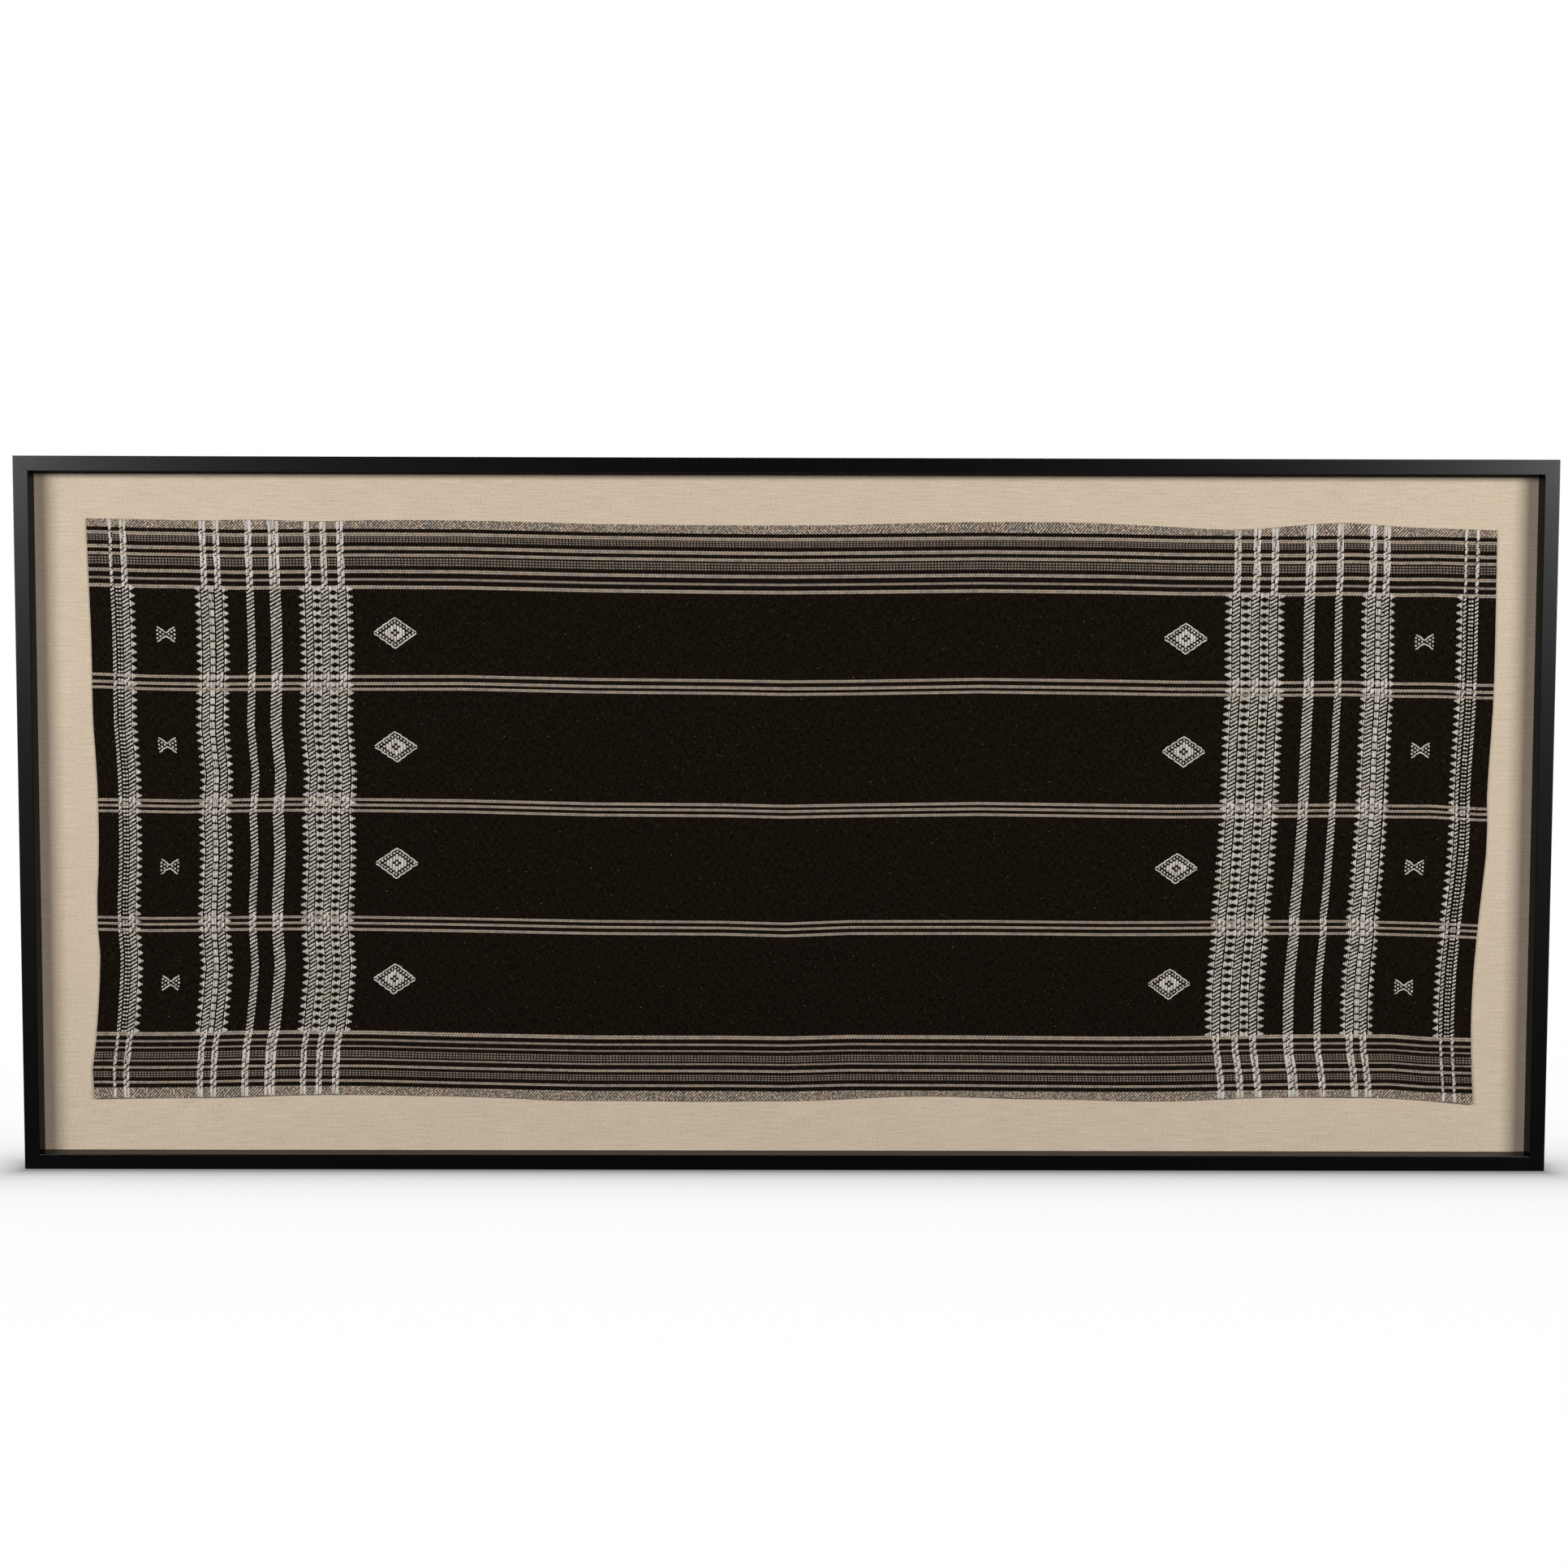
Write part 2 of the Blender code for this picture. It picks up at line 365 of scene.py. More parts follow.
level_lacquer = lacquer("lacquer_level_rails", False)
upright_lacquer = lacquer("lacquer_upright_rails", True)
dress("rail_top", level_lacquer)
dress("rail_bottom", level_lacquer)
dress("rail_left", upright_lacquer)
dress("rail_right", upright_lacquer)
print("four rails lacquered")

# %% [markdown]
# ## Board and cleat
# Neither shows from the front. Behind, the linen is pulled over a plywood board, and a planed softwood
# cleat carries the frame on the wall. Their grain could be an image, but noise stretched along the wood
# needs no file, and a second, slower noise makes its lines wander.


# %% Plywood and planed wood
def wood(name, light, dark, rings, roughness):
    """Wood whose grain runs along X."""
    finish = Finish(name, roughness=roughness)
    x, y, z = finish.places()
    drift = finish.cloudy(x * 1.2, y * 4, z * 4)
    lines = finish.cloudy(x * 1.5, y * rings, z * rings + drift * 4, detail=4.0)
    pores = finish.cloudy(x * 60, y * 1500, z * 1500).step(0.60, 0.75)
    tone = finish.mix(lines.step(0.30, 0.72), light, dark)
    finish.set("Base Color", finish.shade(tone, 1 - 0.35 * pores))
    finish.bump(lines - pores, 0.15 * MM)
    return finish.material


dress("backing_board", wood("plywood", rgb(0.50, 0.35, 0.20), rgb(0.42, 0.28, 0.15), 30.0, 0.7))
dress("hanging_cleat", wood("planed_pine", rgb(0.60, 0.42, 0.23), rgb(0.42, 0.26, 0.12), 140.0, 0.6))
print("board and cleat finished")

# %% [markdown]
# ## Linen
# The linen is one sheet pulled over the board and stapled behind it. It is modelled as it is made: a box
# just larger than the board, its back opened to leave the turned-over margin, and its face divided so that
# it can lie a little uneven. Solidify gives it the thickness of the cloth. A cloth simulation would do too,
# but linen that is stretched hardly moves.

# %% Linen sheet
LINEN_THICKNESS = 1.0 * MM
TURN_OVER = 35 * MM
LINEN_BORDER = 8 * MM
LINEN_CUTS = 60
linen_low, linen_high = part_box("linen_cover")
linen_size = linen_high - linen_low
linen_middle = (linen_high + linen_low) / 2


def select_faces(mesh, test):
    """In edit mode, select the faces that pass a test, and nothing else."""
    edit = bmesh.from_edit_mesh(mesh)
    for element in (*edit.faces, *edit.edges, *edit.verts):
        element.select_set(False)
    for face in edit.faces:
        if test(face):
            face.select_set(True)
    bmesh.update_edit_mesh(mesh)


deselect_all()
bpy.ops.mesh.primitive_cube_add(size=1, location=linen_middle, scale=linen_size)
linen = bpy.context.object
linen.name = "linen_sheet"
bpy.ops.object.transform_apply(location=True, rotation=True, scale=True)
bpy.ops.object.mode_set(mode="EDIT")
bpy.ops.mesh.select_mode(type="FACE")
select_faces(linen.data, lambda face: face.normal.y > 0.9)
bpy.ops.mesh.inset(thickness=TURN_OVER)
bpy.ops.mesh.delete(type="FACE")
select_faces(linen.data, lambda face: face.normal.y < -0.9)
bpy.ops.mesh.inset(thickness=LINEN_BORDER)
bpy.ops.mesh.subdivide(number_cuts=LINEN_CUTS)
bpy.ops.object.mode_set(mode="OBJECT")
linen_points = np.array([vert.co[:] for vert in linen.data.vertices])
print("linen sheet", len(linen_points), "points")

# %% Linen thickness and slack
LINEN_SLACK = 0.12 * MM


def ripple(x, z):
    """Very slight unevenness of stretched cloth, from 0 to 1."""
    wide = np.sin(7.0 * x + 3.0 * z) * np.sin(9.0 * z - 2.0 * x)
    fine = np.sin(31.0 * x - 11.0 * z) * np.sin(23.0 * z + 5.0)
    return 0.5 + 0.35 * wide + 0.15 * fine


face_point = linen_points[:, 1] < linen_low.y + 0.1 * MM
linen_points[face_point, 1] += LINEN_SLACK * ripple(linen_points[face_point, 0], linen_points[face_point, 2])
linen.data.vertices.foreach_set("co", linen_points.ravel())
thickness = linen.modifiers.new("thickness", "SOLIDIFY")
thickness.thickness = LINEN_THICKNESS
thickness.offset = -1.0
thickness.use_even_offset = True
bpy.ops.object.modifier_apply(modifier=thickness.name)
bpy.ops.object.shade_smooth_by_angle(angle=math.radians(30))
print("linen box", short(linen.dimensions))

# %% [markdown]
# The linen's colour is a warm oatmeal. Slubs, the thick places of the yarn, show as long level streaks and
# short grains, and a plain weave of about twelve threads to the centimetre gives the surface its relief.
# Single threads would be too many to model, so noise and waves in the finish stand for them.

# %% Linen finish
THREAD_PITCH = 0.85 * MM
OATMEAL = [
    (0.23, (0.330, 0.252, 0.165)),
    (0.41, (0.485, 0.391, 0.280)),
    (0.59, (0.555, 0.456, 0.334)),
    (0.77, (0.690, 0.585, 0.445)),
]
oatmeal = Finish("oatmeal_linen", roughness=0.88, specular=0.25)
x, y, z = oatmeal.places()
level_threads = (z + oatmeal.cloudy(x * 40, z * 40) * 0.6 * MM).wave(THREAD_PITCH)
upright_threads = (x + oatmeal.cloudy(z * 40, x * 40) * 0.6 * MM).wave(THREAD_PITCH)
streaks = oatmeal.cloudy(x * 22, z * 480)
grains = oatmeal.cloudy(x * 260, z * 540)
slubs = streaks * 0.45 + grains * 0.55
upright_slubs = oatmeal.cloudy(x * 900, z * 60)
patches = oatmeal.cloudy(x * 14, z * 14, y * 14)
# Painted shade: the thread waves darken the linen's colour a little in the dips between the threads.
weave = 0.90 + 0.06 * level_threads + 0.04 * upright_threads
shading = weave * (0.90 + 0.10 * upright_slubs + 0.08 * patches)
tone = oatmeal.shade(oatmeal.ramp(slubs, OATMEAL), shading)
oatmeal.set("Base Color", tone)
oatmeal.bump(level_threads + upright_threads + slubs * 1.5, 0.18 * MM, 0.8)
linen.data.materials.append(oatmeal.material)
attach(linen, "root")
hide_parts("linen_cover")

# %% [markdown]
# ## The cloth's own map
# On the loom every stripe and band was straight, and now they wander by some millimetres. So all that
# follows is charted straight, in loom millimetres, and one function says where a loom place lies on the
# wall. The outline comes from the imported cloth, and two tables say how far the lines drift.

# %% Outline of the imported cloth
RIM_REACH = 30 * MM
packed = np.array([vert.co[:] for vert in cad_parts["textile"].data.vertices])
packed_x = packed[:, 0] - CENTRE_X
packed_z = packed[:, 2] - CENTRE_Z
CLOTH_BACK_Y = packed[:, 1].max()
CLOTH_THICKNESS = 1.6 * MM


def rim(along, across, side):
    """A function that gives the cloth's rim across a direction for places along it."""
    outer = side * across > (side * across).max() - RIM_REACH
    places, first = np.unique(np.round(along[outer], 4), return_index=True)
    reach = across[outer][first]
    return lambda at: np.interp(at, places, reach)


top_rim = rim(packed_x, packed_z, 1)
bottom_rim = rim(packed_x, packed_z, -1)
left_rim = rim(packed_z, packed_x, -1)
right_rim = rim(packed_z, packed_x, 1)
print("rim at the middle:", short(top_rim(0), bottom_rim(0)))

# %% Drift of the bands and stripes
# Bands run up the cloth. At each height: how far the left bands and the right bands lie off true, in mm.
BAND_DRIFT = np.array([  # height, left bands, right bands
    (-430, -18.5, -12.5), (-405, -18.0, -15.0), (-365, -15.0, -21.5), (-340, -10.0, -22.5),
    (-280, -3.5, -22.5), (-240, 0.0, -20.5), (-180, -3.5, -15.0), (-160, -3.5, -16.0),
    (-100, -0.5, -11.0), (-60, 1.5, -8.5), (0, -0.5, -5.0), (20, 1.5, -4.5), (60, 4.0, -3.5),
    (100, 0.5, -2.5), (140, -2.5, -1.5), (200, -0.5, 1.0), (240, 0.5, 0.5), (280, 0.0, 0.0),
    (340, -1.5, 0.0), (385, -2.5, 2.0), (430, -4.0, 1.5),
])
# Stripes run along the cloth. At each place across: how far five of them lie off true, in mm.
STRIPE_DRIFT = np.array([  # across, bottom border, low stripes, middle stripes, high stripes, top border
    (-1060, 1.0, 1.5, 0.5, 2.5, 3.0), (-990, 0.5, -0.5, -0.5, -0.5, 1.0),
    (-930, 1.0, 0.0, -1.5, -1.5, 0.5), (-850, 3.0, 1.5, 0.5, -1.5, -1.5),
    (-765, 4.0, 2.5, 2.0, -0.5, -0.5), (-650, 3.5, 2.0, 1.5, -0.5, 0.5),
    (-500, 0.0, 0.0, 0.0, 0.0, 0.0), (-300, -3.5, -3.5, -4.5, -4.0, -4.0),
    (-100, -3.5, -4.5, -5.5, -5.5, -6.0), (0, -4.5, -7.0, -7.5, -7.0, -6.5),
    (100, -2.0, -3.0, -5.5, -6.0, -5.5), (300, -2.5, -2.5, -2.5, -2.5, -3.0),
    (500, -4.0, -4.0, -5.0, -4.5, -4.5), (600, -3.5, -3.5, -6.0, -6.0, -6.5),
    (780, 0.0, -1.5, -4.5, -6.5, -7.5), (870, 0.5, -1.5, -3.5, -5.5, -6.0),
    (945, 0.5, -3.0, -5.0, -8.0, -8.0), (1000, -3.5, -4.5, -5.0, -8.0, -7.5),
    (1075, -5.0, -7.5, -9.5, -10.0, -9.5),
])
TRUE_AT_X = -500 * MM
TRUE_AT_Z = 280 * MM
LOOM_LEFT = float(left_rim(TRUE_AT_Z))
LOOM_RIGHT = float(right_rim(TRUE_AT_Z))
LOOM_TOP = float(top_rim(TRUE_AT_X))
LOOM_BOTTOM = float(bottom_rim(TRUE_AT_X))
BAND_PLACES = [LOOM_LEFT, -0.90, -0.69, 0.0, 0.69, 0.93, LOOM_RIGHT]
STRIPE_HEIGHTS = [LOOM_BOTTOM, -0.430, -0.345, -0.172, 0.013, 0.204, 0.350, 0.4405, LOOM_TOP]
print("loom width and height", short(LOOM_RIGHT - LOOM_LEFT, LOOM_TOP - LOOM_BOTTOM))


# %% From the loom to the wall
def blend(at, knots, values):
    """Values given at knots, blended for each place by straight lines."""
    total = np.zeros(np.shape(at))
    for knot, value in enumerate(values):
        total += np.interp(at, knots, np.eye(len(knots))[knot]) * value
    return total


def drift(table, at):
    """Each column of a drift table at places along it, in metres."""
    return [np.interp(at, table[:, 0] * MM, column * MM) for column in table.T[1:]]


def wall_place(u, v):
    """Where a loom place lies, as x and z from the frame's centre."""
    left, right = drift(BAND_DRIFT, v)
    edges = (left_rim(v) - LOOM_LEFT, right_rim(v) - LOOM_RIGHT)
    across = [edges[0], left, left, (left + right) / 2, right, right, edges[1]]
    x = u + blend(u, BAND_PLACES, across)
    low, third, second, first, high = drift(STRIPE_DRIFT, x)
    ends = (bottom_rim(x) - LOOM_BOTTOM, top_rim(x) - LOOM_TOP)
    z = v + blend(v, STRIPE_HEIGHTS, [ends[0], low, low, third, second, first, high, high, ends[1]])
    return x, z


def loom_place(x, z):
    """The loom place that lies at x and z from the frame's centre."""
    u, v = x, z
    for _ in range(4):
        off_x, off_z = wall_place(u, v)
        u, v = u + x - off_x, v + z - off_z
    return float(u), float(v)


EDGE_COCKLE = 2.2 * MM
COCKLE_LENGTH = 0.240
FINE_WAVE = 0.1 * MM


def face_depth(u, v):
    """Y of the cloth's face at a loom place: flat on the linen, with soft waves near the long edges."""
    x, _ = wall_place(u, v)
    up = (v - LOOM_BOTTOM) / (LOOM_TOP - LOOM_BOTTOM)
    near_edge = np.abs(2 * up - 1) ** 6
    wave = 0.5 - 0.5 * np.cos(2 * np.pi * x / COCKLE_LENGTH + 2.0 * up)
    swell = 0.5 - 0.5 * np.cos(2 * np.pi * x / (2.7 * COCKLE_LENGTH))
    fine = FINE_WAVE * np.sin(61.0 * x + 17.0 * v) * np.sin(83.0 * v - 9.0 * x)
    return CLOTH_BACK_Y - CLOTH_THICKNESS - EDGE_COCKLE * near_edge * wave * swell - FINE_WAVE + fine


print("loom corner lies at", short(wall_place(LOOM_LEFT, LOOM_TOP)))

# %% [markdown]
# ## The cloth
# Long stripes run the whole length: a grey twill selvedge, chains that look like little zigzags, rows of
# checks, and plain grey lines. One image over the whole cloth would blur close up. So the sheet is a grid
# whose rows fall exactly on the stripes' edges, and each stripe is a row of faces with its own finish.

# %% Stripe chart
# Each stripe is (low edge, high edge, kind), in loom millimetres from the frame's centre.
STRIPES = (
    (-423.4, -418.8, "chain"), (-413.8, -403.6, "checks"), (-400.2, -395.4, "chain"),
    (-389.0, -385.3, "plain"), (-383.6, -372.6, "checks"), (-368.2, -364.8, "plain"),
    (-358.8, -354.2, "plain"), (-348.7, -341.6, "chain"), (-184.4, -179.3, "chain"),
    (-174.3, -169.7, "chain"), (-165.1, -160.4, "chain"), (1.5, 6.5, "chain"),
    (10.5, 15.3, "chain"), (18.8, 24.0, "chain"), (191.7, 196.8, "chain"), (200.3, 205.7, "chain"),
    (211.2, 216.4, "chain"), (347.6, 354.0, "chain"), (360.2, 365.0, "plain"),
    (371.8, 378.0, "chain"), (383.2, 395.8, "checks"), (397.3, 402.8, "chain"),
    (407.6, 414.0, "chain"), (419.3, 428.6, "checks"), (428.8, 435.2, "chain"),
)
SELVEDGE_LOW = -429.5
SELVEDGE_HIGH = 440.5
CLOTH_COLUMNS = 210
GROUND_ROW = 20 * MM


# The rows of the sheet from bottom to top, as (low, high, kind, number of the stripe).
stripes = [(low * MM, high * MM, kind) for low, high, kind in STRIPES]
stripes.append((LOOM_BOTTOM, SELVEDGE_LOW * MM, "selvedge"))
stripes.append((SELVEDGE_HIGH * MM, LOOM_TOP, "selvedge"))
ROWS = []
at = LOOM_BOTTOM
for number, (low, high, kind) in enumerate(sorted(stripes)):
    gap_rows = max(1, math.ceil((low - at) / GROUND_ROW)) if low > at else 0
    edges = np.linspace(at, low, gap_rows + 1)
    ROWS += [(start, end, "ground", number) for start, end in zip(edges, edges[1:])]
    ROWS.append((low, high, kind, number))
    at = high
print(len(ROWS), "rows of faces,", sum(kind != "ground" for _, _, kind, _ in ROWS), "of them striped")

# %% Cloth sheet
HEM_WIDTH = 15 * MM
HEM_RISE = 0.5 * MM
HEM_COLUMNS = np.array([0.0, 0.7, 1.5, 7.0, 13.0]) * MM
KINDS = ["ground", "chain", "checks", "plain", "selvedge"]


def hem_rise(u):
    """The short ends are turned under, which lifts the last stretch of the cloth."""
    inward = np.minimum(u - LOOM_LEFT, LOOM_RIGHT - u)
    profile = ([0.0, HEM_COLUMNS[2], HEM_COLUMNS[-1], HEM_WIDTH], [0.0, 1.0, 1.0, 0.0])
    return HEM_RISE * np.interp(inward, *profile)


deselect_all()
bpy.ops.mesh.primitive_grid_add(x_subdivisions=CLOTH_COLUMNS, y_subdivisions=len(ROWS), size=2)
cloth = bpy.context.object
cloth.name = "woven_cloth"
grid = np.array([vert.co[:] for vert in cloth.data.vertices])
column = np.rint((grid[:, 0] + 1) / 2 * CLOTH_COLUMNS).astype(int)
row = np.rint((grid[:, 1] + 1) / 2 * len(ROWS)).astype(int)
inner_columns = CLOTH_COLUMNS + 1 - 2 * len(HEM_COLUMNS)
inner = np.linspace(LOOM_LEFT + HEM_WIDTH, LOOM_RIGHT - HEM_WIDTH, inner_columns)
column_u = np.concatenate([LOOM_LEFT + HEM_COLUMNS, inner, LOOM_RIGHT - HEM_COLUMNS[::-1]])
row_v = np.array([ROWS[0][0]] + [high for _, high, _, _ in ROWS])
loom_u = column_u[column]
loom_v = row_v[row]
cloth_x, cloth_z = wall_place(loom_u, loom_v)
cloth_y = face_depth(loom_u, loom_v) - hem_rise(loom_u)
points = np.stack([cloth_x + CENTRE_X, cloth_y, cloth_z + CENTRE_Z], 1)
cloth.data.vertices.foreach_set("co", points.ravel())
print("cloth sheet:", len(points), "points,", len(cloth.data.polygons), "faces")

# %% Cloth maps and stripe finishes
# Map "loom" holds loom metres. Map "stripe" holds metres along a stripe, and -1 to 1 across it.
def corner_points(mesh):
    """The number of the point at each corner of each face."""
    found = np.zeros(len(mesh.loops), int)
    mesh.loops.foreach_get("vertex_index", found)
    return found


corner_vert = corner_points(cloth.data)
face_of_corner = np.repeat(np.arange(len(cloth.data.polygons)), 4)
face_row = row[corner_vert].reshape(-1, 4).min(1)
row_low, row_high, _, row_number = (np.array(values)[face_row][face_of_corner] for values in zip(*ROWS))
corner_u = loom_u[corner_vert]
corner_v = loom_v[corner_vert]
STRIPE_SHIFT = 3.37
across_stripe = 2 * (corner_v - row_low) / (row_high - row_low) - 1
cloth.data.uv_layers.remove(cloth.data.uv_layers[0])
loom_map = cloth.data.uv_layers.new(name="loom")
loom_map.data.foreach_set("uv", np.stack([corner_u, corner_v], 1).ravel())
stripe_map = cloth.data.uv_layers.new(name="stripe")
stripe_map.data.foreach_set("uv", np.stack([corner_u + STRIPE_SHIFT * row_number, across_stripe], 1).ravel())
face_kind = np.array([KINDS.index(kind) for _, _, kind, _ in ROWS])[face_row]
print("faces of each kind:", {kind: int((face_kind == index).sum()) for index, kind in enumerate(KINDS)})


# %% [markdown]
# ### Finishes of the cloth
# The ground is a dense plain weave of nearly black wool, a little browner in places, with single pale
# fibres and bits of dust on it.
# The stripes share one undyed yarn, whose tone changes every few centimetres as the spinner joined
# fleece after fleece: cream, straw, a pinkish and a bluish grey. All of it is drawn from noise and waves on
# the cloth's own maps, so it bends wherever the cloth does.


# %% Wool ground
GROUND_DARK = rgb(0.0022, 0.0015, 0.0010)
GROUND_BROWN = rgb(0.0135, 0.0092, 0.0058)


def ground_tone(finish, u, v):
    """The colour of the dark wool, with painted shade between its threads, and its thread relief."""
    level = (v + finish.cloudy(u * 60, v * 60) * 0.5 * MM).wave(1.15 * MM)
    upright = (u + finish.cloudy(v * 50, u * 50) * 0.5 * MM).wave(1.3 * MM)
    threads = level.most(upright * 0.8)
    across = finish.cloudy(u * 500, v * 120, detail=3.0, rough=0.6)
    along = finish.cloudy(u * 130, v * 650, detail=3.0, rough=0.6)
    clouds = (along * 0.5 + across * 0.5).step(0.36, 0.66)
    # Painted shade: the browner share is smaller in the dips between the threads.
    tone = finish.mix(clouds * (0.70 + 0.30 * threads), GROUND_DARK, GROUND_BROWN)
    return tone, threads


def flecks(finish, u, v, length, width, rarity):
    """Sparse pale fibres: 1 on a fibre and 0 elsewhere."""
    bend = finish.cloudy(u * 70, v * 70) * 3 * MM
    spots = finish.cloudy(u / length, (v + bend) / width, detail=1.0)
    return spots.step(rarity, rarity + 0.035)


def ground_finish():
    finish = Finish("dark_wool_ground", roughness=0.95, specular=0.0)
    u, v = finish.map("loom")
    tone, threads = ground_tone(finish, u, v)
    level_fibres = flecks(finish, u, v, 5 * MM, 1.1 * MM, 0.73)
    upright_fibres = flecks(finish, v, u, 6 * MM, 0.9 * MM, 0.74)
    lint = flecks(finish, u, v, 2.6 * MM, 2.2 * MM, 0.775)
    tone = finish.mix(level_fibres.most(upright_fibres) * 0.30, tone, rgb(0.14, 0.11, 0.09))
    tone = finish.mix(lint, tone, rgb(0.30, 0.27, 0.22))
    finish.set("Base Color", tone)
    finish.bump(threads, 0.20 * MM)
    return finish.material


print("the dark wool goes from", GROUND_DARK[:3], "to", GROUND_BROWN[:3])

# %% Striped finishes
FLEECE = [
    (0.30, (0.46, 0.34, 0.18)),
    (0.38, (0.44, 0.36, 0.26)),
    (0.45, (0.34, 0.29, 0.24)),
    (0.53, (0.48, 0.39, 0.29)),
    (0.60, (0.42, 0.31, 0.23)),
    (0.70, (0.35, 0.31, 0.29)),
]


def stripe_finish(name, pattern, brightness):
    """A stripe: undyed yarn where the pattern is 1, dark wool where it is 0."""
    finish = Finish(name, roughness=0.9, specular=0.0)
    loom_u, loom_v = finish.map("loom")
    u, w = finish.map("stripe")
    dark, threads = ground_tone(finish, loom_u, loom_v)
    yarn = pattern(finish, u, w)
    fleece = finish.ramp(finish.cloudy(u * 22, detail=3.0, rough=0.7), FLEECE)
    uneven = 0.80 + 0.40 * finish.cloudy(u * 160, w * 1.5)
    strands = finish.cloudy(u * 240, w * 2.2, detail=1.0)
    light = finish.shade(fleece, uneven * (0.30 + 1.25 * strands) * brightness)
    finish.set("Base Color", finish.mix(yarn.least(1.0), dark, light))
    finish.bump(yarn + threads * 0.15, 0.5 * MM)
    return finish.material


CHAIN_PITCH = 4.6 * MM


def chain_pattern(finish, u, w):
    """Two zigzag yarns, one above the other, whose turns slip slowly past each other."""
    slip = finish.cloudy(u * 9) * 9 * MM
    turn = u + (w + 1.0) * 0.4 * MM
    upper = (w - 0.44 + 0.25 * (1 - 2 * turn.wave(CHAIN_PITCH))).size().step(0.46, 0.12)
    lower = (w + 0.44 + 0.25 * (1 - 2 * (turn + slip).wave(CHAIN_PITCH))).size().step(0.46, 0.12)
    return upper.most(lower)


CHECK_PITCH = 4.9 * MM


def check_pattern(finish, u, w):
    """Three rows of short dashes that stand in columns."""
    columns = u.wave(CHECK_PITCH).step(0.15, 0.60)
    rows = (w + 1.0).wave(2 / 3).step(0.30, 0.80)
    return columns * (0.10 + 0.90 * rows) + 0.08 * rows * (1 - columns)


def plain_pattern(finish, u, w):
    """One soft line of beads."""
    bead = u.wave(CHAIN_PITCH)
    return (w.size() + 0.25 * bead).step(1.2, 0.50) * (0.60 + 0.35 * bead)


TWILL_PITCH = 5.0 * MM
TWILL_SLOPE = 1.25
SELVEDGE_HEIGHT = 12 * MM


def selvedge_pattern(finish, u, w):
    """Fine twill that mostly rises to the right and turns back here and there, broken by speckles."""
    up = w * (SELVEDGE_HEIGHT / 2)
    rising = (u - up * TWILL_SLOPE).wave(TWILL_PITCH)
    falling = (u + up * TWILL_SLOPE).wave(TWILL_PITCH)
    turned = finish.cloudy(u * 70, w * 1.5).step(0.50, 0.62)
    twill = (rising + (falling - rising) * turned).step(0.20, 0.75)
    speckle = finish.cloudy(u * 220, up * 280, detail=1.0).step(0.34, 0.66)
    return 0.06 + 0.94 * twill * (0.30 + 0.70 * speckle)


stripe_finishes = [
    ground_finish(),
    stripe_finish("chain_stripes", chain_pattern, 0.88),
    stripe_finish("check_stripes", check_pattern, 0.50),
    stripe_finish("plain_stripes", plain_pattern, 0.59),
    stripe_finish("selvedge_twill", selvedge_pattern, 1.25),
]
for material in stripe_finishes:
    cloth.data.materials.append(material)
cloth.data.polygons.foreach_set("material_index", face_kind)
print("cloth finishes:", [material.name for material in cloth.data.materials])

# %% Cloth thickness
body = cloth.modifiers.new("body", "SOLIDIFY")
body.thickness = CLOTH_THICKNESS - 0.2 * MM
body.offset = -1.0
deselect_all()
cloth.select_set(True)
bpy.context.view_layer.objects.active = cloth
bpy.ops.object.modifier_apply(modifier=body.name)
bpy.ops.object.shade_smooth_by_angle(angle=math.radians(40))
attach(cloth, "root")
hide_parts("textile")
print("cloth box", short(cloth.dimensions))

# %% [markdown]
# ## The cream stitches
# The bands are extra cream yarn that floats over the ground in short upright stitches. One stitch is
# modelled by hand: a six-sided rod, halved where it lies on the cloth, with both ends drawn in. It has
# few faces because there are thousands of copies, each stretched to its own width and length. A painted
# band would look flat from the side, where these stitches catch the light.

# %% One stitch
STITCH_SIDES = 6
ROD_LENGTH = 0.6
ROD_END = 0.2
deselect_all()
bpy.ops.mesh.primitive_cylinder_add(vertices=STITCH_SIDES, radius=1 / math.sqrt(3), depth=ROD_LENGTH)
stitch = bpy.context.object
stitch.name = "one_stitch"
bpy.ops.object.mode_set(mode="EDIT")
bpy.ops.mesh.select_mode(type="FACE")
for side in (1, -1):
    select_faces(stitch.data, lambda face: face.normal.z * side > 0.9)
    bpy.ops.mesh.extrude_region_move(TRANSFORM_OT_translate={"value": (0, 0, side * ROD_END)})
    bpy.ops.transform.resize(value=(0.62, 0.30, 1.0))
bpy.ops.mesh.select_all(action="SELECT")
bpy.ops.mesh.bisect(plane_co=(0, 0, 0), plane_no=(0, 1, 0), use_fill=True, clear_outer=True)
bpy.ops.object.mode_set(mode="OBJECT")
unit_points = np.array([vert.co[:] for vert in stitch.data.vertices])
unit_faces = [list(face.vertices) for face in stitch.data.polygons]
bpy.data.objects.remove(stitch)
print("one stitch:", len(unit_points), "points,", sum(len(face) - 2 for face in unit_faces), "triangles")

# %% Stitching a list of stitches down
STITCH_HEIGHT = 0.70 * MM
STITCH_GAP = 0.02 * MM
FULL_WIDTH = 1.6 * MM
END_TAPER = 1.0 * MM
END_SHARE = 0.35
random = np.random.default_rng(7)


